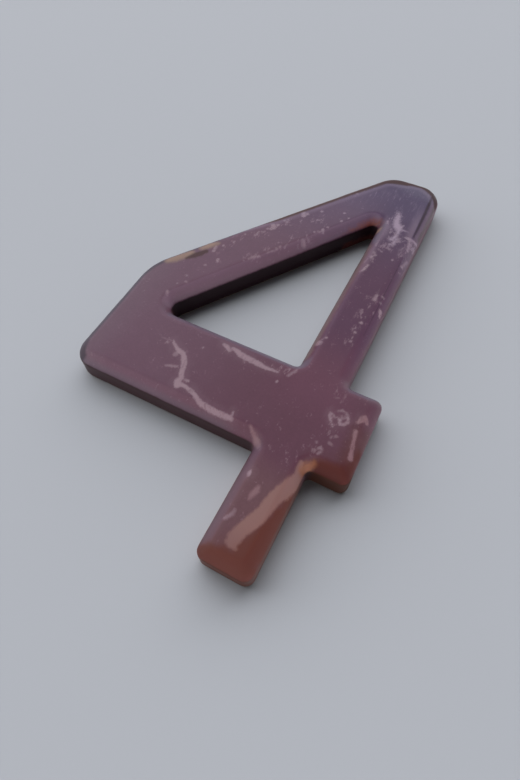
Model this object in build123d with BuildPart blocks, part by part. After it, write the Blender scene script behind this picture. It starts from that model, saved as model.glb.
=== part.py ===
from build123d import *
from math import cos, radians, sin, tan
import os

# House numeral 4 in glazed ceramic: one thick slab of clay cut to the shape of the digit, with an upright
# wall, a softly bevelled shoulder round the face and a flat back that is bedded on a wall or a door.
# The digit lies on its back. X runs across it, Y runs up it and Z comes out of its face.
# The origin is on the back, in the middle of the width and the height. Lengths are in millimetres.

# Slab
HEIGHT = 200.0  # foot to top
THICKNESS = 13.0  # back to face
SHOULDER_SIZE = 4.4  # how far the shoulder runs in from the wall, and down from the face
SHOULDER_SWEEP = 36.0  # degrees that its curve turns through, half of them to each side of 45
BACK_BEVEL = 0.8  # trimmed edge between the wall and the back

# Stem and cross bar
STEM_WIDTH = 20.1
BAR_RISE = 41.6  # foot to the bar's lower side
BAR_DEPTH = 36.0  # lower side to upper side
BAR_REACH = 80.7  # stem to the left end
STUB_LENGTH = 14.5  # stem to the right end

# Diagonal, and the triangular counter that it closes
LEFT_END = 55.0  # upright side of the left end
APEX_WIDTH = 26.9  # top side, from the stem's right
COUNTER_SIDE = 18.1  # left end to the counter's left corner
COUNTER_CROWN = 31.0  # top side to the counter's upper corner

# Roundings of the outline's corners
FOOT_ROUND = 3.5
STUB_ROUND = 3.2
CROSSING_ROUND = 2.2  # inner corners where the stem crosses the bar
APEX_RIGHT_ROUND = 10.0
APEX_LEFT_ROUND = 14.0
LEFT_TOP_ROUND = 26.0
LEFT_BOTTOM_ROUND = 8.0
COUNTER_LEFT_ROUND = 4.0
COUNTER_TOP_ROUND = 2.0
COUNTER_FOOT_ROUND = 1.5  # square corner between the bar and the stem
FACE_ROUND = 2.5  # least rounding that an outer corner keeps up at the face

SHOULDER_STEPS = 2  # steps from outline to outline up the shoulder
SIDE_SHARE = 0.96  # most of a side that the roundings at its two ends may take
CUT_PAST = 1.0  # how far the counter's cut runs past the back and the face
MOUTH_PAST = 0.25  # share of the shoulder's curve by which the cut of the counter's mouth runs on at its ends

# Places across the digit and up it
width = BAR_REACH + STEM_WIDTH + STUB_LENGTH
left = -width / 2
stem_left = left + BAR_REACH
stem_right = stem_left + STEM_WIDTH
right = stem_right + STUB_LENGTH
foot = -HEIGHT / 2
bar_bottom = foot + BAR_RISE
bar_top = bar_bottom + BAR_DEPTH
top = foot + HEIGHT
wall_top = THICKNESS - SHOULDER_SIZE

# Corners and their roundings, counter-clockwise
DIGIT = [
    ((stem_right, foot), FOOT_ROUND),
    ((stem_right, bar_bottom), CROSSING_ROUND),
    ((right, bar_bottom), STUB_ROUND),
    ((right, bar_top), STUB_ROUND),
    ((stem_right, bar_top), CROSSING_ROUND),
    ((stem_right, top), APEX_RIGHT_ROUND),
    ((stem_right - APEX_WIDTH, top), APEX_LEFT_ROUND),
    ((left, bar_bottom + LEFT_END), LEFT_TOP_ROUND),
    ((left, bar_bottom), LEFT_BOTTOM_ROUND),
    ((stem_left, bar_bottom), CROSSING_ROUND),
    ((stem_left, foot), FOOT_ROUND),
]
COUNTER = [
    ((left + COUNTER_SIDE, bar_top), COUNTER_LEFT_ROUND),
    ((stem_left, bar_top), COUNTER_FOOT_ROUND),
    ((stem_left, top - COUNTER_CROWN), COUNTER_TOP_ROUND),
]


def moved_in(outline, inset=0.0):
    """Corners and roundings of an outline whose sides have all moved in by the same distance.

    The rounding of an outer corner shrinks by that distance, and that of an inner corner grows.
    Where a side is too short for the roundings at its two ends, both shrink to fit it.
    """
    corners = [Vector(*place) for place, rounding in outline]
    count = len(corners)
    sides = [(corners[(i + 1) % count] - corners[i]).normalized() for i in range(count)]
    points, radii, reaches = [], [], []
    for i, (place, rounding) in enumerate(outline):
        before, after = sides[i - 1], sides[i]
        inward = before.rotate(Axis.Z, 90) + after.rotate(Axis.Z, 90)
        points.append(corners[i] + inward * (inset / (1 + before.dot(after))))
        outer = before.cross(after).Z > 0
        radii.append(max(rounding - inset, min(rounding, FACE_ROUND)) if outer else rounding + inset)
        reaches.append(radii[i] * tan(radians(before.get_angle(after)) / 2))
    fits = []
    for i in range(count):
        following = (i + 1) % count
        room = SIDE_SHARE * (points[following] - points[i]).length
        fits.append(min(1.0, room / (reaches[i] + reaches[following])))
    return points, [radii[i] * min(fits[i - 1], fits[i]) for i in range(count)]


def shoulder_at(share):
    """How far in from the wall, and how high above the back, the shoulder's arc is.

    Share 0 is the top of the wall and share 1 is the face. Outside them the arc runs on.
    """
    steep = radians(45 + SHOULDER_SWEEP / 2)
    shallow = radians(45 - SHOULDER_SWEEP / 2)
    radius = SHOULDER_SIZE / (sin(steep) - sin(shallow))
    slope = steep + (shallow - steep) * share
    return radius * (sin(steep) - sin(slope)), wall_top + radius * (cos(slope) - cos(steep))


with BuildPart() as numeral:
    # Upright wall
    with BuildSketch():
        with BuildLine():
            points, radii = moved_in(DIGIT)
            FilletPolyline(*points, radius=radii, close=True)
        make_face()
    extrude(amount=wall_top)

    # Shoulder: outlines that draw in along its arc, from the top of the wall to the face
    steps = [step / SHOULDER_STEPS for step in range(SHOULDER_STEPS + 1)]
    for step in steps:
        inset, height = shoulder_at(step)
        with BuildSketch(Plane.XY.offset(height)):
            with BuildLine():
                points, radii = moved_in(DIGIT, inset)
                FilletPolyline(*points, radius=radii, close=True)
            make_face()
    loft()

    # Counter, right through the slab
    with BuildSketch(Plane.XY.offset(-CUT_PAST)):
        with BuildLine():
            points, radii = moved_in(COUNTER)
            FilletPolyline(*points, radius=radii, close=True)
        make_face()
    extrude(amount=THICKNESS + 2 * CUT_PAST, mode=Mode.SUBTRACT)

    # Mouth of the counter: the same shoulder, cut with outlines that widen towards the face
    for step in [-MOUTH_PAST, *steps, 1 + MOUTH_PAST]:
        inset, height = shoulder_at(step)
        with BuildSketch(Plane.XY.offset(height)):
            with BuildLine():
                points, radii = moved_in(COUNTER, -inset)
                FilletPolyline(*points, radius=radii, close=True)
            make_face()
    loft(mode=Mode.SUBTRACT)

    # Trimmed edges of the back, outside and in the counter
    back = numeral.faces().sort_by(Axis.Z)[0]
    chamfer(back.edges(), length=BACK_BEVEL)

numeral.part.label = "numeral_four"

os.makedirs("parts", exist_ok=True)
export_step(numeral.part, "parts/numeral_four.step")
print(f"numeral_four: {width:.1f} x {HEIGHT:.1f} x {THICKNESS:.1f} mm")
print(f"volume: {numeral.part.volume / 1000:.1f} cm3")
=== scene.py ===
# %% [markdown]
# # A house numeral in glazed ceramic
#
# The real object is one slab of clay, cut to the shape of a 4, bevelled along its front edge, dipped in a
# mauve glaze and fired lying on its back. Its shape is already measured and modelled as a solid. What is
# left to do here is the skin: the slight unevenness of hand work, and a glaze with pale streaks that pools
# and breaks.

# %% Load the solid and keep its box
from math import pi, radians

import bpy
import numpy as np
from mathutils import Euler, Matrix, Vector


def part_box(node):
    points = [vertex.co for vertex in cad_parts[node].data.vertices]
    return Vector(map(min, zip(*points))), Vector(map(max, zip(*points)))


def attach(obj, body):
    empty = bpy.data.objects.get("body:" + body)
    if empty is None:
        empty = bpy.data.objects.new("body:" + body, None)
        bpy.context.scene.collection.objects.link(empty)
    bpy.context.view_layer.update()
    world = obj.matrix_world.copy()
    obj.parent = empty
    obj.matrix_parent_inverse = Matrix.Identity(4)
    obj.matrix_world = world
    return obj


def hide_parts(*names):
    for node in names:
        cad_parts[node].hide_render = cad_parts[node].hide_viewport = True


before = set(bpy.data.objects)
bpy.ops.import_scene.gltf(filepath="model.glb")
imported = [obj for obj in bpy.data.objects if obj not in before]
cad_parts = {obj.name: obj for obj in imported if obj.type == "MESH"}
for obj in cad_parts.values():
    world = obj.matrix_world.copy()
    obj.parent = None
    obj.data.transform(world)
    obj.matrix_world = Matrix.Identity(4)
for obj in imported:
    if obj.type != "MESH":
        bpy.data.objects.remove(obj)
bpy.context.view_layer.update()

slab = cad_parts["numeral_four"]
back_corner, face_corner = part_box("numeral_four")
MM = 0.001  # the scene is in metres
print("solid:", [round(side / MM, 1) for side in face_corner - back_corner], "mm")

# %% [markdown]
# ## Where the viewer stands
#
# The numeral lies on its back and is seen from above its foot, turned a little to the left. A camera could
# be aimed with a Track To constraint, but here its place, heading and tilt are known as numbers, so they
# are set directly: heading about the upright axis, then tilt, then a slight roll about the line of sight.

# %% Camera
EYE = Vector((57.4, -117.6, 161.4)) * MM
HEADING = radians(28.3)  # from +Y towards -X
LOOK_DOWN = radians(59.34)  # below the horizon
ROLL = radians(-1.02)
LENS = 22.11  # millimetres, on a sensor 36 mm long
NEAREST = 1 * MM  # nothing closer than this is drawn

aim = Euler((pi / 2 - LOOK_DOWN, 0, HEADING)).to_matrix() @ Matrix.Rotation(ROLL, 3, "Z")
bpy.ops.object.camera_add(location=EYE, rotation=aim.to_euler())
camera = bpy.context.object
camera.name = "camera"
camera.data.lens = LENS
camera.data.clip_start = NEAREST
bpy.context.scene.camera = camera
bpy.context.scene.view_settings.view_transform = "Standard"
print("camera at", [round(value / MM) for value in camera.location], "mm")

# %% [markdown]
# ## Writing materials as sums
#
# A shader is a graph of nodes. Placing each node and link by hand hides the thought behind it, so one small
# class wraps a node's output: adding or multiplying two of them adds the Math node that does it, and one
# method makes any other node from its type, its settings and the values or links of its inputs.


# %% A class for shader sockets
class Shade:
    """One output of a shader node, ready to be used in sums and products."""

    def __init__(self, tree, socket=None):
        self.tree = tree
        self.socket = socket

    def node(self, kind, inputs, output=0, **settings):
        """One output of a new node, made from its settings and the values or links of its inputs."""
        made = self.tree.nodes.new(kind)
        for name, value in settings.items():
            setattr(made, name, value)
        for name, value in inputs.items():
            if isinstance(value, Shade):
                self.tree.links.new(value.socket, made.inputs[name])
            else:
                made.inputs[name].default_value = value
        return Shade(self.tree, made.outputs[output])

    def math(self, operation, first, second):
        """The result of a Math node on two values."""
        return self.node("ShaderNodeMath", {0: first, 1: second}, operation=operation)

    def __add__(self, other):
        return self.math("ADD", self, other)

    def __sub__(self, other):
        return self.math("SUBTRACT", self, other)

    def __mul__(self, other):
        return self.math("MULTIPLY", self, other)

    def __radd__(self, other):
        return self.math("ADD", other, self)

    def __rsub__(self, other):
        return self.math("SUBTRACT", other, self)

    def __rmul__(self, other):
        return self.math("MULTIPLY", other, self)

    def __rtruediv__(self, other):
        return self.math("DIVIDE", other, self)

    def either(self, other):
        """The larger of two values."""
        return self.math("MAXIMUM", self, other)

    def least(self, other):
        """The smaller of two values."""
        return self.math("MINIMUM", self, other)

    def tinted(self, tint):
        """A colour made brighter or darker by this factor."""
        return self.node("ShaderNodeVectorMath", {0: tint, "Scale": self}, operation="SCALE")

    def rise(self, low, high):
        """A soft step: 0 below low, 1 above high. With low above high it falls instead."""
        inputs = {"Value": self, "From Min": low, "From Max": high}
        return self.node("ShaderNodeMapRange", inputs, interpolation_type="SMOOTHSTEP")

    def blend(self, under, over):
        """A colour that goes from under to over as this mask goes from 0 to 1."""
        inputs = {0: self, 6: under, 7: over}  # sockets of a Mix node that is set to colours
        return self.node("ShaderNodeMix", inputs, output=2, data_type="RGBA")

    def noise(self, place, size, detail=2.0, roughness=0.5):
        """Cloudy noise between 0 and 1. Size is the width of its blotches, in the units of place."""
        inputs = {"Vector": place, "Scale": 1 / size, "Detail": detail, "Roughness": roughness}
        return self.node("ShaderNodeTexNoise", inputs)


print("shader class ready")


# %% Colours, layers and empty materials
def colour(red, green, blue):
    """A colour as a screen shows it, 0 to 255, turned by the sRGB curve into what shaders use."""
    shares = np.array([red, green, blue]) / 255
    linear = np.where(shares > 0.04045, ((shares + 0.055) / 1.055) ** 2.4, shares / 12.92)
    return (*linear.tolist(), 1.0)


def layered(under, *layers):
    """A colour with others laid over it, from the lowest up, each with the mask that says where."""
    for mask, tint in layers:
        under = mask.blend(under, tint)
    return under


def new_material(name):
    """An empty material: its node tree, wrapped, and a function that connects the finished shader."""
    material = bpy.data.materials.new(name)
    material.use_nodes = True
    tree = material.node_tree
    tree.nodes.clear()
    output = tree.nodes.new("ShaderNodeOutputMaterial")

    def finish(shader):
        tree.links.new(shader.socket, output.inputs["Surface"])
        return material

    return Shade(tree), finish


print("middle grey is", round(colour(128, 128, 128)[0], 3), "in linear light")

# %% [markdown]
# ## Floor and light
#
# Broad daylight with no hard sun shows a gloss glaze best. Lamps could give it, but a sky lights more softly:
# here it is bright on its far left half, with only a low glow at the horizon elsewhere, so the slab throws a
# wide, soft shadow to the near right. What the glaze mirrors is a sky of its own, paler low down, dimmer
# overhead and brightest behind the viewer, where it lies on the near shoulder as a grey sheen.

# %% Floor
FLOOR_SIDE = 6.0
FLOOR_GAP = 0.02 * MM  # keeps the floor clear of the slab's back
FLOOR_GREY = colour(180, 182, 186)
FLOOR_ROUGH = 0.85
FLOOR_SHINE = 0.2

bpy.ops.object.select_all(action="DESELECT")
bpy.ops.mesh.primitive_plane_add(size=FLOOR_SIDE, location=(0, 0, -FLOOR_GAP))
floor = bpy.context.object
floor.name = "floor"
shade, finish_material = new_material("pale_floor")
inputs = {"Base Color": FLOOR_GREY, "Roughness": FLOOR_ROUGH, "Specular IOR Level": FLOOR_SHINE}
floor.data.materials.append(finish_material(shade.node("ShaderNodeBsdfPrincipled", inputs)))
print("floor", FLOOR_SIDE, "m wide")

# %% Sky
SKY_TINT = colour(248, 250, 255)
SLANT = 0.7  # share of +Y, and of -X, in the direction of the bright side
BRIGHT_SIDE = 2.85  # strength on the bright side
BRIGHT_FROM, BRIGHT_TO = 0.07, 0.42  # how far round to that side the brightness sets in, and is full
LOW_GLOW = 0.9  # strength at the horizon elsewhere
GLOW_TOP = 0.55  # height at which the low glow ends
MIRROR_LOW = colour(158, 166, 182)
MIRROR_HIGH = colour(130, 137, 152)
MIRROR_NEAR = colour(222, 222, 226)

world = bpy.data.worlds.new("soft_sky")
bpy.context.scene.world = world
world.use_nodes = True
world.node_tree.nodes.clear()
shade = Shade(world.node_tree)
direction = shade.node("ShaderNodeTexCoord", {}, output="Generated")
east, north, height = (shade.node("ShaderNodeSeparateXYZ", {0: direction}, output=axis) for axis in "XYZ")
bright_side = (SLANT * (north - east)).rise(BRIGHT_FROM, BRIGHT_TO)
brightness = BRIGHT_SIDE * bright_side + LOW_GLOW * height.rise(GLOW_TOP, 0.0) * (1 - bright_side)
light = shade.node("ShaderNodeBackground", {"Color": SKY_TINT, "Strength": brightness})
mirrored = layered(MIRROR_LOW, (height.rise(0.4, 1.0), MIRROR_HIGH), (north.rise(0.1, -0.5), MIRROR_NEAR))
view = shade.node("ShaderNodeBackground", {"Color": mirrored, "Strength": 1.0})
ray = {kind: shade.node("ShaderNodeLightPath", {}, output=kind)
       for kind in ("Is Camera Ray", "Is Glossy Ray", "Is Transmission Ray")}
seen = ray["Is Camera Ray"].either(ray["Is Glossy Ray"]).either(ray["Is Transmission Ray"])
sky = shade.node("ShaderNodeMixShader", {0: seen, 1: light, 2: view})
output = world.node_tree.nodes.new("ShaderNodeOutputWorld")
world.node_tree.links.new(sky.socket, output.inputs["Surface"])
print("sky strength", BRIGHT_SIDE, "on its bright side")

# %% [markdown]
# ## The skin of the slab
#
# Clay cut and smoothed by hand is never quite flat, and glaze rounds off what the knife left crisp. Sculpting
# would do, but a repeatable way is to copy the solid, rebuild it as an even net of small faces with Remesh,
# relax it with Smooth and let a cloud texture press it in by a fraction of a millimetre. The back stays
# flat, because it lay on the kiln shelf: a vertex group keeps the texture off it.

# %% Even net of faces
NET = 0.6 * MM
MERGE = 0.001 * MM  # corners of the solid's loose triangles that are this close are one point

bpy.ops.object.select_all(action="DESELECT")
numeral = bpy.data.objects.new("glazed_numeral", slab.data.copy())
bpy.context.scene.collection.objects.link(numeral)
numeral.data.materials.clear()
numeral.select_set(True)
bpy.context.view_layer.objects.active = numeral
bpy.ops.object.mode_set(mode="EDIT")
bpy.ops.mesh.select_all(action="SELECT")
bpy.ops.mesh.remove_doubles(threshold=MERGE)
bpy.ops.object.mode_set(mode="OBJECT")


def apply_modifier(piece, kind, **settings):
    """Adds a modifier, sets it and applies it."""
    modifier = piece.modifiers.new(kind.lower(), kind)
    for name, value in settings.items():
        setattr(modifier, name, value)
    bpy.context.view_layer.objects.active = piece
    bpy.ops.object.modifier_apply(modifier=modifier.name)


apply_modifier(numeral, "REMESH", mode="VOXEL", voxel_size=NET, use_smooth_shade=True)
print("net:", len(numeral.data.polygons), "faces")

# %% Relaxed edges
FLAT_BELOW, FREE_ABOVE = 0.5 * MM, 4.0 * MM
RELAX_FACTOR, RELAX_STEPS = 0.5, 6


def of_vertices(what):
    """The places or the normals of the numeral's vertices, one row each."""
    flat = np.empty(len(numeral.data.vertices) * 3)
    numeral.data.vertices.foreach_get(what, flat)
    return flat.reshape(-1, 3)


lift = np.clip((of_vertices("co")[:, 2] - FLAT_BELOW) / (FREE_ABOVE - FLAT_BELOW), 0, 1)
free = numeral.vertex_groups.new(name="above_the_back")
for vertex, weight in enumerate(lift.tolist()):
    free.add([vertex], weight, "REPLACE")
apply_modifier(numeral, "SMOOTH", vertex_group=free.name, factor=RELAX_FACTOR, iterations=RELAX_STEPS)
print("edges relaxed in", RELAX_STEPS, "steps")

# %% Which way the skin faces
normals = of_vertices("normal")
turn_from_face = np.degrees(np.arccos(np.clip(normals[:, 2], -1, 1)))
to_the_light = SLANT * (normals[:, 1] - normals[:, 0])
print("turned by", round(turn_from_face.min()), "to", round(turn_from_face.max()), "degrees from the face")

# %% A slight waver
WAVER = 0.15 * MM
WAVER_WIDTH = 22 * MM

clouds = bpy.data.textures.new("hand_waver", "CLOUDS")
clouds.noise_scale = WAVER_WIDTH
apply_modifier(numeral, "DISPLACE", texture=clouds, texture_coords="LOCAL", vertex_group=free.name,
               strength=-WAVER, mid_level=0.0)
bpy.ops.object.shade_smooth()
top = of_vertices("co")[:, 2].max()
print("skin:", len(numeral.data.vertices), "points, top at", round(top / MM, 2), "mm")

# %% [markdown]
# ## Where the marks lie
#
# Pale streaks and flecks, rusty pools and worn edges lie at places of their own, and so do the bevels and
# walls where sheen and light are painted. They could be painted with a brush, but a brush leaves nothing to
# read. Here each mark is a short stroke: points with a half width, in millimetres on the face. Every vertex
# then stores its distance to the nearest edge of such a stroke, and the shader turns that distance, roughened
# with noise, into a mark with a ragged edge. Where a half width is below zero, a stroke thins out.

# %% Strokes of pale marks
STROKES = {}

# Thick pale streaks: two on the bar, a dash on the foot, and a wedge, a streak and a knot on the stub
STROKES["pale"] = [
    # On the bar
    [(-24.2, -35.4, 0.2), (-23.5, -36.5, 0.5), (-21, -38, 0.7), (-19.5, -38.8, 1.1), (-17.6, -39, 0.9),
     (-16.4, -40.5, 1.1), (-15, -42.5, 1.1), (-14, -45, 0.9), (-13.4, -47, 1), (-12.4, -48.6, 0.8),
     (-12.8, -50.6, 1.3), (-12, -52, 1.3)],
    [(-11.4, -51.2, 1.1), (-9.4, -51, 0.7), (-7, -51.6, 0.8), (-4.6, -52.4, 0.8), (-2.6, -53.6, 0.9),
     (-0.6, -54.4, 1), (2, -54.7, 1), (6, -55, 1), (10, -54.8, 0.9), (12, -54.8, 0.7)],
    [(11.6, -54.4, 0.5), (11.4, -52.4, 0.3)],
    [(-6, -28.4, 0.5), (-4.4, -28.8, 0.9), (-2.6, -30, 0.6)],
    [(-2, -28.4, 0.6), (0, -28.8, 1), (2, -29.6, 1.2), (6, -30, 1.2), (10, -30.3, 1.1),
     (13.4, -30.6, 0.8), (16, -30.4, 0.5), (18, -30.4, 0.4)],
    # On the stub
    [(51.6, -36.6, 0.4), (52.6, -34.8, 1), (53.4, -33.4, 1), (54.8, -34.8, 0.6)],
    [(52.4, -39.8, 0.7), (53.1, -43.2, 0.6), (53.8, -46.8, 0.7), (54.5, -49.6, 0.9)],
    [(42, -37, 0.3), (42.1, -38.2, 0.5), (43.1, -39.8, 0.4), (44.7, -41.6, 0.2)],
    [(42.7, -37.1, 0.1), (43.7, -38, 0.3)],
    [(45, -37.6, 0.2), (45.9, -38.4, 0.6), (46.5, -39.7, 0.5), (47.9, -39.3, 0.4), (48.7, -37.7, 0.5),
     (48.2, -36.3, 0.4), (47, -36.6, 0.1)],
    # On the foot
    [(27, -68.6, 0.3), (27.1, -69.6, 0.7), (27.2, -70.6, 0.3)],
]
# Thinner ones, half clear
STROKES["faint"] = [
    # On the diagonal
    [(-2.9, 37.3, 0.7), (-2.2, 36.1, 1)], [(-1.4, 39.2, 0.1)], [(-3.6, 33.6, 0.2)],
    # On the stem
    [(32.8, 60.7, 0.3), (32.8, 57.1, 0.4)],
    [(31.6, 55.1, 0.4), (34, 54.3, 0.5), (35.4, 54.9, 0.3)],
    [(33.4, 52.9, 0.4), (33.6, 50.9, 0.3)],
    [(37.6, 58.7, 0.6), (40.4, 58.3, 0.2), (40.2, 52, 0.3)],
    [(42, 47.6, 0.3), (41.2, 42.6, 0.4)],
    # On the bar
    [(-34, -33, -0.3), (-29, -36.4, 0), (-25, -36, 0.1)],
    [(-33.4, -30.6, -0.3), (-31, -32.6, -0.2)],
    [(-20.6, -46.6, 0.3), (-18.4, -45.8, 0.6), (-16.4, -45.2, 0.5)],
    [(-20, -40.6, 1)], [(-10.8, -48.8, 0.4), (-9.4, -48.6, 0.5)],
    [(22, -30, 0.5), (23.6, -27, 0.4), (24, -25, 0.3)],
    [(4.6, -31.4, 0.3), (5.2, -32.4, 0.2)],
    # On the stub
    [(40.9, -30.8, 0), (42.1, -30.2, 0.1)], [(44.1, -27.6, 0), (43.7, -31.8, 0)],
    [(44.1, -35.2, 0.2), (45.3, -34.3, 0.4), (46.7, -34.7, 0.4), (48, -35.8, 0.4)],
    [(45.9, -36.4, 0.2), (46.5, -37.6, 0.4)], [(47.3, -44.6, 0.5)], [(45.9, -45.6, 0.4)],
    [(46.1, -47.8, 0.4), (47.1, -48.2, 0.4)], [(42.1, -49.6, 0.3)],
    [(43.5, -51.6, 0.3), (44.5, -51, 0.4), (45.1, -51.6, 0.4), (44.3, -53.2, 0.5)],
    # On the foot
    [(28.8, -82.3, 0.3), (28.6, -84, 0.6), (27.2, -86.2, 0.5)],
]
# Ragged patch high on the stem
STROKES["patch"] = [
    [(28.8, 73.3, 0.2), (29.5, 71, 0.9), (29.8, 68.4, 1.2), (30.2, 66.2, 1.4), (31.2, 64.2, 1.6),
     (32.4, 62.6, 1.3)],
    [(32.6, 62.4, 1), (33, 59, 0.2), (32.7, 57.4, 0.6)],
    [(32.9, 62.8, 0.4), (36.4, 62.6, -0.1)],
    [(31, 54.4, 0.1), (32.6, 56.6, 0.7), (34.6, 55.8, 0)],
    [(33.6, 55.4, 0.3), (33.4, 53, 0.5), (32, 50.8, 0)],
]
print("pale strokes:", sum(len(strokes) for strokes in STROKES.values()))

# %% Flecks and speckles
STROKES["flecks"] = [
    # On the diagonal
    [(-10, 53.2, 1), (-9.4, 51.6, 1)], [(-8.2, 53.4, 0.6)],
    [(-19, 39.6, 0.8), (-18.2, 38.4, 1.3), (-18.8, 37, 0.7)],
    [(-17.2, 40.6, 0.7)], [(-15.6, 44.8, 0.3)], [(-12, 43, 0.3)], [(-14.6, 46, 0.1)],
    [(-21.6, 33.6, 0.3)], [(2.2, 47.2, 0.6), (2.6, 46, 0.5)], [(1, 45, 0.5)], [(-0.2, 44, 0.4)],
    [(3.4, 49.4, 0.4)], [(-11, 27, 0.5)], [(-10.2, 28.6, 0.4)],
    [(-13.8, 22.8, 0), (-12.4, 24.4, 0.2), (-11, 25.8, 0.1)],
    [(-19.4, 15.6, 0), (-17.4, 18.2, 0.5), (-15.6, 19.6, 0.3)],
    [(-20.4, 14, 0.2)], [(-33.9, 4.4, 0.6)], [(-30.6, 9.6, 0.5), (-30, 8.4, 0.5)],
    [(-34.8, 13, 0.5), (-35, 16.2, 0.5)], [(-32.6, 18, 0.4)], [(-30.6, 22.2, 0.2)], [(-22.8, 31, 0.2)],
    [(-20.2, 36.4, 0.5)], [(-27.6, 28.6, 0.3)], [(-37.6, -4.4, 0.5)], [(-36, -7.6, 0.5)],
    [(-38.8, -9.8, 0.5)], [(-40, -15.4, 0.4), (-39.4, -17, 0.2)], [(-3, 58, 0.7)], [(7, 61.6, 0.4)],
    [(9.8, 59.2, 0.5)], [(7.4, 56, 0.5)], [(6.6, 77, 0.6)],
    # On the stem
    [(26.2, 65.7, 0.3), (26.6, 64.5, 0.3)], [(33.6, 65.9, 0.2), (33.2, 64.3, 0.4)],
    [(36.8, 58.7, 0.4), (38.8, 58.7, 0.8), (40.8, 59.5, 0.5), (42.2, 60, 0.5)],
    [(39, 58.1, 0.5), (39.6, 55.7, 0.6), (40, 52.3, 0.4)],
    [(42, 56.9, 0.2), (41.2, 54.7, 0.3)], [(25.8, -10.4, 1.2)], [(27.4, -7.6, 0.5)], [(26.4, -8.6, 0.4)],
    [(28.2, 35.7, 0.4), (27.5, 33.1, 0.5), (26.6, 31.6, 0.5)],
    [(28.6, 46.7, 0.1), (30.6, 45.7, 0.2)], [(27.4, 44.1, 0.2), (28.8, 42.7, 0.3)],
    [(27.6, 41.3, 0.6), (28.4, 39.9, 0.3)], [(28.8, 39.1, 0.2), (29.2, 38.1, 0.2)], [(36.4, 43, 0.4)],
    [(41, 42.6, 0.4)], [(37.2, 21.4, 0.5), (37.4, 18.6, 0.6)], [(41.4, 15.8, 0.6), (41.8, 13.4, 0.4)],
    [(40.1, 18.8, 0.5)], [(39.8, 22, 0.5)], [(36.8, 5, 0.5)], [(36.4, -0.4, 0.5)], [(36.6, -5, 0.4)],
    [(32, 51.6, 0.5)], [(35, 55.2, 0.4)],
    # On the bar
    [(-12.4, -33.4, 0.3)], [(-9.6, -48.8, 0.5)], [(19.5, -34, 0.3)],
]
# Where fine speckles gather
STROKES["speckled"] = [
    # On the diagonal
    [(-34, 14, 1.5), (-10, 50, 3), (0, 52, 2)],
    [(-20, 16, 1.5), (-2, 40, 3)],
    # On the stem
    [(28, 70, 3), (32, 58, 5), (28, 44, 3.5), (27, 32, 2)],
    [(40, 58, 4), (41, 40, 2)], [(37.5, 22, 2.5), (36, -6, 2.5)],
    [(24.6, 28, 1), (24.6, -5, 1), (26, -12, 1.5)],
    # On the bar
    [(-27, -35, 2), (-20, -38, 2.5)], [(-4, -29, 3)], [(16, -29, 2), (23, -28, 1.5)],
    [(31, -59, 1.5), (38, -57, 2)],
    # On the stub
    [(42.5, -28.6, 2.5)],
    [(45, -40, 2.5), (45, -48, 2), (43, -52, 2)],
]
# Painted sheen on the stem, beside the counter
STROKES["light_edge"] = [
    [(25, 68, 0), (26.6, 62, 2.4), (26.8, 57, 1.6), (26.2, 50, 0.6), (26, 42, 1.6), (25.6, 34, 1.2),
     (25.2, 22, 0.2), (25.2, 2, 0.2), (25, -8, -0.4)],
]
print("flecks:", len(STROKES["flecks"]))

# %% Strokes of pink, rust and wear
# Pink band down the foot
STROKES["band"] = [
    [(40.6, -58.6, 0.7), (41.2, -61, 1.2), (41.9, -63, 1.6), (41, -66, 2.2), (39.6, -69.5, 2.3),
     (38.3, -73, 2.2), (37.5, -76, 2.1), (37.2, -78.5, 2.1), (36.3, -81.5, 2.4), (34.9, -84.5, 2.4),
     (33.5, -87.5, 2.2), (32.9, -90, 2.2), (32.8, -91.6, 1.8)],
    [(31.3, -92.2, 0.5), (34.6, -92.9, 0.6)],
]
# Rust on the foot and the stub, and a glow at the counter's upper corner
STROKES["rust"] = [
    [(43, -66, 0.8), (42.6, -72, 1.8), (41.8, -80, 2.8), (40, -88, 4), (38, -95, 5)],
    [(24, -100, 4.2), (28, -99, 4.2), (32, -97.5, 4.2), (36, -97.5, 4.6), (43, -98, 4)],
    [(46, -57, 2.4), (57, -56, 3.4)], [(56, -53, 2.5), (56.8, -46, 1.5)],
    [(8, 48, -1.4), (12.4, 55.2, -0.2), (17.4, 62.2, 0.6), (20.2, 64.9, 0.9), (22.4, 65.4, 0.9),
     (23.4, 64.2, 0.5), (23.3, 58, 0.2), (23.3, 48, -0.8)],
]
# Ochre spot at the inner corner under the stub
STROKES["ochre"] = [
    [(44.4, -56.5, 0.8), (43, -58.4, 1.6), (42, -60.2, 1.2)],
]
# Tan marks at the inner corner under the bar and on the foot
STROKES["tan"] = [
    [(19.2, -54.2, 0.2), (20.4, -55.2, 0.4), (22.1, -56.6, 0.6), (23.6, -58.1, 1), (24.9, -59.4, 0.8)],
    [(31.9, -72.5, 0.4), (31.8, -74, 0.9), (31.2, -76.4, 0.6), (31.1, -77.4, 0.3)],
]
# Glaze worn to tan on the diagonal's outer edge and at the counter's upper corner
STROKES["worn"] = [
    [(-49.4, -0.6, 1.2), (-47, 2, 1.7), (-44.6, 5.2, 1.7), (-42.8, 7.8, 1.2)],
    [(-40, 12.4, 1), (-37.8, 15.8, 1.4), (-35.6, 18, 0.8)],
    [(24.2, 61.8, 0.6), (24.2, 60, 0.4)],
]
# Brown beside that wear
STROKES["worn_inner"] = [
    [(-43, 4.2, 0.5), (-41, 6.8, 1.2), (-39.2, 9.2, 1.3), (-37.6, 11.6, 0.9)],
]
# Fine dark seam down the right of the stem
STROKES["seam"] = [
    [(39.2, 91, 0.4), (39.5, 85, 0.6), (39.7, 78, 0.6), (39.8, 70, 0.5), (39.9, 61.4, 0.2)],
    [(39.8, 50, -0.2), (39.8, 40, 0), (39.9, 20, 0), (40, 0, -0.1)],
]
print("lists of strokes so far:", len(STROKES))

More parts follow.
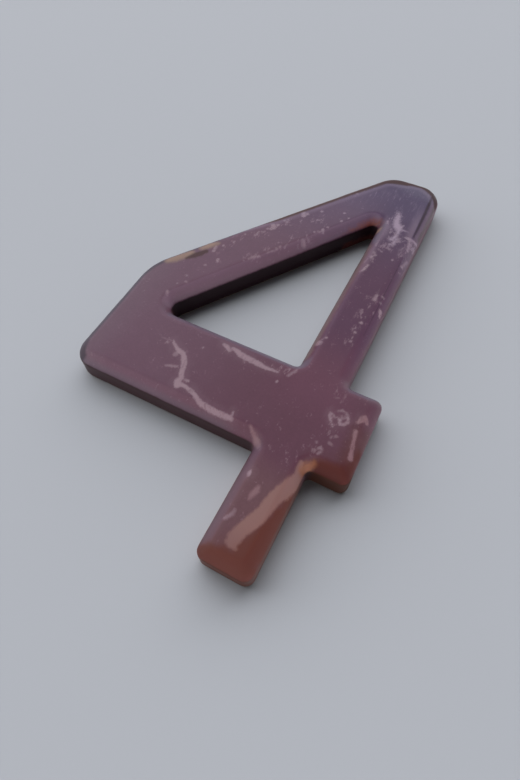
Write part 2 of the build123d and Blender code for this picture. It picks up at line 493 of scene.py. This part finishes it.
# %% Edges and walls with a colour of their own
# Edge of the diagonal and the top, where the glaze broke to brown
STROKES["brown_edge"] = [
    [(-36, 26.6, -0.5), (-30, 35.2, 2.8), (-22, 46.4, 5), (-13, 59, 5.3), (0, 77.3, 5.6), (12, 94.1, 6),
     (15.6, 97.8, 7.2), (19.5, 99.6, 7.8), (23.5, 100, 7.4), (28, 100, 6), (33.2, 100, 5.6),
     (38.2, 98.7, 6.2), (41, 96.4, 5.8), (42.6, 93, 4.4), (43.15, 89, 2.2)],
]
# Edge round the left end, which is grey
STROKES["grey_edge"] = [
    [(-50, -58.2, 1.6), (-53, -57.6, 3), (-55.3, -56, 3.8), (-57.65, -50, 4.2), (-57.65, -30, 4.3),
     (-57.65, -11.7, 4), (-56.4, -3.8, 5), (-52.8, 3.4, 5), (-40, 21, 4), (-24, 43.6, 3),
     (-10, 63.2, -0.5)],
]
# Right corner of the top, and the edge below it
STROKES["crease"] = [
    [(38, 96, 4), (42.4, 88, 3), (43.2, 80, 3), (43.2, 64, 2)],
]
# Counter's edge along the stem
STROKES["tan_edge"] = [
    [(23, 48, 3), (23, -16, 3)],
]
# Walls on the right: their mauve glaze, painted lighter with painted light from the right
STROKES["light_wall"] = [
    [(43.2, 92, 4), (43.2, -20, 3)], [(57.6, -24, 3), (57.6, -50, 3)], [(43.2, -64, 3), (43.2, -97, 3)],
]
# Counter's edge along the diagonal, and the wall below it
STROKES["shaded_edge"] = [
    [(-38, -20, 5), (21, 66, 5)],
]
STROKES["dark_wall"] = [
    [(-39, -20, 3), (23, 69, 3)],
]
# Upper end of that wall
STROKES["corner_wall"] = [
    [(12, 53, 1.5), (22, 66, 2.5)],
]
print("lists of strokes in all:", len(STROKES))

# %% Distances to the strokes
TINY = 1e-9  # in place of a length of zero, so that a stroke can be a single point


def distance_to(strokes):
    """Millimetres from each vertex to the edge of the nearest stroke, below zero inside it."""
    flat = of_vertices("co")[:, :2] / MM
    nearest = np.full(len(flat), np.inf)
    for stroke in strokes:
        for (x0, y0, wide0), (x1, y1, wide1) in zip(stroke, stroke[1:] or stroke):
            run = np.array([x1 - x0, y1 - y0])
            from_start = flat - (x0, y0)
            along = np.clip(from_start @ run / max(run @ run, TINY), 0, 1)
            gap = np.linalg.norm(from_start - along[:, None] * run, axis=1)
            nearest = np.minimum(nearest, gap - wide0 - along * (wide1 - wide0))
    return nearest


def store(name, values):
    """Keeps one number per vertex under a name that a shader can read."""
    attribute = numeral.data.attributes.new(name, "FLOAT", "POINT")
    attribute.data.foreach_set("value", values.astype(np.float32))


for name, strokes in STROKES.items():
    store(name, distance_to(strokes))
    print(name, len(strokes), "strokes")
store("turn", turn_from_face)
store("to_the_light", to_the_light)

# %% [markdown]
# ## The glaze
#
# The glaze is a mauve glass, plum red where it is thick at the crossing, pinker to the left and lilac at the
# top. It is built up in layers, each one a colour and a mask: ground, speckles, pale streaks, rust, worn
# ochre, painted sheen on some bevels, and last the dark wall, the right walls lighter with painted light,
# and the bare clay. One shader takes the result, because clay and glaze are one surface. On the bevels the
# colour is also painted lighter where they turn from the bright side and darker where they face it: painted
# light and painted shade that even out the shading the sky gives.

# %% Places and noise
shade, finish_material = new_material("mauve_glaze")
object_place = shade.node("ShaderNodeTexCoord", {}, output="Object")
place = shade.node("ShaderNodeVectorMath", {0: object_place, "Scale": 1 / MM}, operation="SCALE")
across, up, out = (shade.node("ShaderNodeSeparateXYZ", {0: place}, output=axis) for axis in "XYZ")


def stored(name):
    """A number that the vertices carry."""
    return shade.node("ShaderNodeAttribute", {}, output="Fac", attribute_name=name)


mark = {name: stored(name) for name in STROKES}
turn = stored("turn")
to_light = stored("to_the_light")

# Noise drawn out along Y gives marks that run down the face. Sizes are widths of blotches in millimetres
down_the_run = shade.node("ShaderNodeVectorMath", {0: place, 1: (1, 0.45, 1)}, operation="MULTIPLY")
long_run = shade.node("ShaderNodeVectorMath", {0: place, 1: (1, 0.18, 1)}, operation="MULTIPLY")
cloud = shade.noise(place, 30, detail=3)
mottle = shade.noise(place, 5, detail=4, roughness=0.65)
fleck = shade.noise(down_the_run, 1.5, detail=3, roughness=0.7)
streak = shade.noise(long_run, 0.9, detail=3, roughness=0.6)
grit = shade.noise(place, 0.8, detail=2, roughness=0.6)
print("numbers read from the vertices:", len(mark) + 2)

# %% Ground colour of the glaze
PLUM = colour(92, 52, 66)
CROSSING_PLUM = colour(98, 55, 71)
STEM_PLUM = colour(84, 46, 69)
MAUVE = colour(104, 71, 86)
LILAC = colour(74, 55, 85)
PALE_TOP = colour(88, 68, 95)
FOOT_PINK = colour(101, 66, 71)
STUB_RED = colour(86, 44, 50)
LEFT_GREY = colour(107, 80, 92)
TOP_GREY = colour(92, 80, 102)
RIGHT_MAUVE = colour(95, 69, 87)

# Masks, with places in millimetres across the digit and up it
to_left = (across - 0.25 * up + 30 * (cloud - 0.5)).rise(48, -42)
left_end = (across + 16 * (cloud - 0.5)).rise(-38, -56)
crossing = across.rise(10, 26) * across.rise(52, 42) * up.rise(-48, -30)
on_stem = across.rise(19, 28) * up.rise(-26, 4)
to_top = (up + 16 * (cloud - 0.5)).rise(24, 92)
top_tint = (across + 20 * (cloud - 0.5)).rise(6, 26).blend(PALE_TOP, LILAC)
top_end = (up + 0.3 * across + 6 * (mottle - 0.5)).rise(94, 101)
right_of_seam = across.rise(39.6, 41) * up.rise(34, 48)
to_foot = (up + 10 * (cloud - 0.5)).rise(-58, -72)
on_stub = (across + 6 * (mottle - 0.5)).rise(48.5, 53) * up.rise(-33, -40)

ground = layered(
    PLUM,
    (to_left, MAUVE),
    (left_end, LEFT_GREY),
    (crossing, CROSSING_PLUM),
    (on_stem, STEM_PLUM),
    (to_top, top_tint),
    (0.7 * top_end, TOP_GREY),
    (right_of_seam, RIGHT_MAUVE),
    (to_foot, FOOT_PINK),
    (on_stub, STUB_RED),
)
ground = (0.82 + 0.16 * mottle + 0.2 * grit).tinted(ground)
print("ground colour made")

# %% Where the marks lie
# Unevenness of the outlines in millimetres, broad and fine, and unevenness inside a mark
wander = 3 * (mottle - 0.5) + 2 * (fleck - 0.5)
jag = 1.2 * (fleck - 0.5) + 0.8 * (grit - 0.5)
uneven = 0.93 + 2.2 * (fleck - 0.5).least(0.02)

# Masks, most of them from the distance to a stroke in millimetres
pale_streaks = (mark["pale"] + jag).rise(0.45, -0.4) * uneven
haze = (mark["faint"] + 1.3 * jag).rise(0.6, -0.5) * uneven
halo = (mark["pale"] + 2 * wander).rise(3, -1)
patch = (mark["patch"] + 2.4 * jag).rise(1.1, -0.9)
flecks = (mark["flecks"] + 1.6 * jag).rise(0.6, -0.4) * grit.rise(0.28, 0.5)
speckles = (fleck + 0.5 * (mottle - 0.5) - 0.02 * mark["speckled"]).rise(0.54, 0.72)
speckles = speckles * mark["speckled"].rise(2.5, -1.5)
# Pale dots all over the face
pale_dots = (0.6 * fleck + 0.4 * grit + 0.3 * (mottle - 0.5)).rise(0.59, 0.7)
veins = streak.rise(0.52, 0.75) * to_top.rise(0.6, 1.0) * (0.35 + 0.65 * mottle.rise(0.46, 0.58))
# Painted sheen on the stem beside the counter
light_edge = (mark["light_edge"] + wander).rise(2, -2)
band = (mark["band"] + 0.3 * wander + 0.6 * jag).rise(0.7, -0.6) * (0.65 + 0.25 * up.rise(-94, -84))
rusty = (mark["rust"] + wander).rise(1.6, -1.8)
rust_glow = (mark["rust"] + wander).rise(7, -1) * up.rise(-20, -40)
ochre = (mark["ochre"] + jag).rise(1.1, -1)
tan = (mark["tan"] + jag).rise(0.8, -0.5)
seam = (mark["seam"] + 0.3 * jag).rise(0.5, -0.4)
seam_light = mark["seam"].rise(4.5, 1) * across.rise(39.6, 38.9) * up.rise(44, 56) * up.rise(86, 66)
print("masks of the marks made")

# %% Marks over the ground
PALE_PINK = colour(147, 119, 127)
PALE_LILAC = colour(147, 126, 144)
PATCH_LILAC = colour(155, 133, 150)
PALE_TAN = colour(136, 100, 104)
BAND_PINK = colour(138, 99, 92)
RUST_RED = colour(97, 52, 44)
STUB_RUST = colour(83, 38, 33)
OCHRE_TAN = colour(146, 91, 62)
SEAM_DARK = colour(44, 10, 28)
CORNER_GLOW = colour(128, 71, 56)

pale_tint = layered(PALE_PINK, (to_top, PALE_LILAC), ((across - 0.2 * up).rise(54, 60), PALE_TAN))
rust_tint = layered(RUST_RED, (up.rise(-64, -60), STUB_RUST), (up.rise(0, 40), CORNER_GLOW))

# A factor before a mask says how far the mark covers what lies under it
face = layered(
    ground,
    (0.35 * veins, PALE_LILAC),
    (0.28 * pale_dots, pale_tint),
    (0.35 * light_edge, pale_tint),
    (0.5 * speckles, pale_tint),
    (0.35 * rust_glow, rust_tint),
    (rusty, rust_tint),
    (band, BAND_PINK),
    (0.12 * halo, pale_tint),
    (0.65 * haze, pale_tint),
    (0.9 * flecks, pale_tint),
    (0.92 * patch, PATCH_LILAC),
    (pale_streaks, pale_tint),
    (0.8 * tan, PALE_TAN),
    (0.85 * ochre, OCHRE_TAN),
    (0.35 * seam_light, pale_tint),
    (seam, SEAM_DARK),
)
print("marks laid over it")

# %% Edges evened out with painted light and shade
SHADE_LIFT = 0.83  # how far the colour is lifted on edges turned from the bright side
LIGHT_LOSS = 0.6  # how far it is lowered on those that face it
# Colours of painted sheen on the bevels
LIT_EDGE_SHEEN = colour(103, 93, 106)
NEAR_SHEEN_GREY = colour(106, 98, 111)
SHADED_EDGE_SHEEN = colour(156, 136, 150)

# Masks, from degrees of turn away from the face and from how far the skin leans to the bright side
lit_edge = to_light.rise(0.1, 0.4)
# The shaded bevel along the counter's diagonal, which gets painted light and a pale grey painted sheen
shaded = mark["shaded_edge"].rise(1, 0) * turn.rise(6, 22) * to_light.rise(-0.14, -0.42)
# Painted light and painted shade: a factor on the colour, above 1 on bevels turned from the bright side and
# below 1 on those that face it
painted_light_and_shade = 1 / (1 + SHADE_LIFT * to_light.least(0) + LIGHT_LOSS * to_light.either(0))
painted_light_and_shade = painted_light_and_shade * (1 + 0.18 * shaded * turn.rise(60, 44))
painted_light_and_shade = painted_light_and_shade * (1 + 0.1 * lit_edge * turn.rise(6, 24) - 0.3 * lit_edge * turn.rise(44, 60))
# Painted sheen: bevels that face the bright side, away from the counter's stem edge, turn grey-lilac
grey_edge = lit_edge * turn.rise(12, 46) * mark["tan_edge"].rise(-1, 2) * (1 - rusty)
grey_edge = grey_edge * (0.5 + 0.5 * up.rise(-62, -54))
# Painted sheen: a grey on the steep bevels turned from the bright side, on the left part of the digit
near_sheen = turn.rise(36, 58) * to_light.rise(0, -0.3) * across.rise(18, 8) * mark["dark_wall"].rise(0, 2)

face = painted_light_and_shade.tinted((0.75 * grey_edge).blend(face, LIT_EDGE_SHEEN))
face = layered(face, (0.4 * near_sheen, NEAR_SHEEN_GREY), (0.28 * shaded * (1 - rusty), SHADED_EDGE_SHEEN))
print("edges evened out")

# %% Edges where the glaze breaks
RIM_BROWN = colour(70, 42, 18)
RIM_GREY = colour(71, 63, 71)
RIM_TAN = colour(104, 88, 85)
CREASE_DARK = colour(92, 60, 62)
WORN_TAN = colour(143, 115, 98)
WORN_BROWN = colour(70, 39, 30)

rim_light = mark["brown_edge"].rise(3, 0.8)
far_rim = (mark["brown_edge"] + 0.5 * jag).rise(0.6, -0.8)
left_rim = (mark["grey_edge"] + 0.5 * jag).rise(0.7, -0.9) * to_light.rise(-0.5, -0.3)
counter_rim = (turn + 8 * wander).rise(34, 52) * mark["tan_edge"].rise(1, -1)
crease = (turn + 4 * wander).rise(46, 54) * mark["crease"].rise(1, -1)
worn = (mark["worn"] + 1.3 * jag).rise(1.3, -1.1)
worn_inner = (mark["worn_inner"] + jag).rise(0.8, -0.6)
face = layered(
    face,
    (0.22 * rim_light, PALE_LILAC),
    (0.78 * far_rim, RIM_BROWN),
    (0.8 * left_rim, RIM_GREY),
    (0.65 * counter_rim, RIM_TAN),
    (0.8 * crease, CREASE_DARK),
    (0.9 * worn, WORN_TAN),
    (0.85 * worn_inner, WORN_BROWN),
)
print("edges broken")

# %% Wall and bare back
WALL_DARK = colour(75, 51, 54)
WALL_COUNTER = colour(54, 36, 42)
WALL_WARM = colour(98, 61, 48)
# Colours of the right walls, painted lighter with painted light
LIT_WALL_MAUVE = colour(146, 112, 124)
LIT_WALL_PINK = colour(138, 95, 86)
WALL_RUST = colour(108, 60, 45)
CORNER_RUST = colour(120, 62, 54)
CLAY = colour(178, 152, 122)

on_wall = (turn + 14 * (mottle - 0.5)).rise(56, 77)
bare = turn.rise(112, 124)
under_stub = across.rise(43, 46) * up.rise(-46, -54)
in_counter = mark["dark_wall"].rise(1, -1)
counter_corner = mark["corner_wall"].rise(1, -1) * (out + 2 * wander).rise(5, 2)
below_bar = (up + 6 * (mottle - 0.5)).rise(-60, -66)
# Painted light on the walls on the right: their mauve glaze is painted lighter
painted_lit_wall = (mark["light_wall"] + wander).rise(2, -2)
wall = layered(
    WALL_DARK,
    (under_stub, WALL_WARM),
    (in_counter, WALL_COUNTER),
    (0.6 * counter_corner, CORNER_RUST),
    (below_bar, WALL_RUST),
    (painted_lit_wall, below_bar.blend(LIT_WALL_MAUVE, LIT_WALL_PINK)),
)
skin = layered(face, (on_wall, wall), (bare, CLAY))
print("wall and back coloured")

# %% Gloss and relief
BODY_ROUGH = 0.45
CLAY_ROUGH = 0.9
BODY_SHINE = 0.12
COAT_ROUGH = 0.12
COAT_IOR = 1.5
RELIEF_STRENGTH = 0.25
RELIEF_DEPTH = 0.15 * MM

roughness = BODY_ROUGH + (CLAY_ROUGH - BODY_ROUGH) * bare

# The clear coat loses most of its gloss on walls, broken edges, edges in full light and rust
coat = 1 - bare
for loss, dull in ((0.9, on_wall), (0.9, far_rim), (0.9, left_rim), (0.85, lit_edge), (0.75, rusty)):
    coat = coat * (1 - loss * dull)

# Relief: a soft peel all over, raised pale streaks, and a grain on the bare clay
peel = shade.noise(place, 3.5, detail=1)
grain = shade.noise(place, 0.5, detail=3, roughness=0.7)
inputs = {
    "Height": 0.25 * peel + 0.3 * pale_streaks + bare * grain,
    "Strength": RELIEF_STRENGTH,
    "Distance": RELIEF_DEPTH,
}
relief = shade.node("ShaderNodeBump", inputs, output="Normal")
inputs = {
    "Base Color": skin,
    "Roughness": roughness,
    "Normal": relief,
    "Specular IOR Level": BODY_SHINE,
    "Coat Weight": coat,
    "Coat Roughness": COAT_ROUGH,
    "Coat IOR": COAT_IOR,
}
glaze = finish_material(shade.node("ShaderNodeBsdfPrincipled", inputs))
numeral.data.materials.append(glaze)
print("glaze material:", len(glaze.node_tree.nodes), "nodes")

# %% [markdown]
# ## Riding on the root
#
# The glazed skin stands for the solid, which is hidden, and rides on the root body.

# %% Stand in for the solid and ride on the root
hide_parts("numeral_four")
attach(numeral, "root")
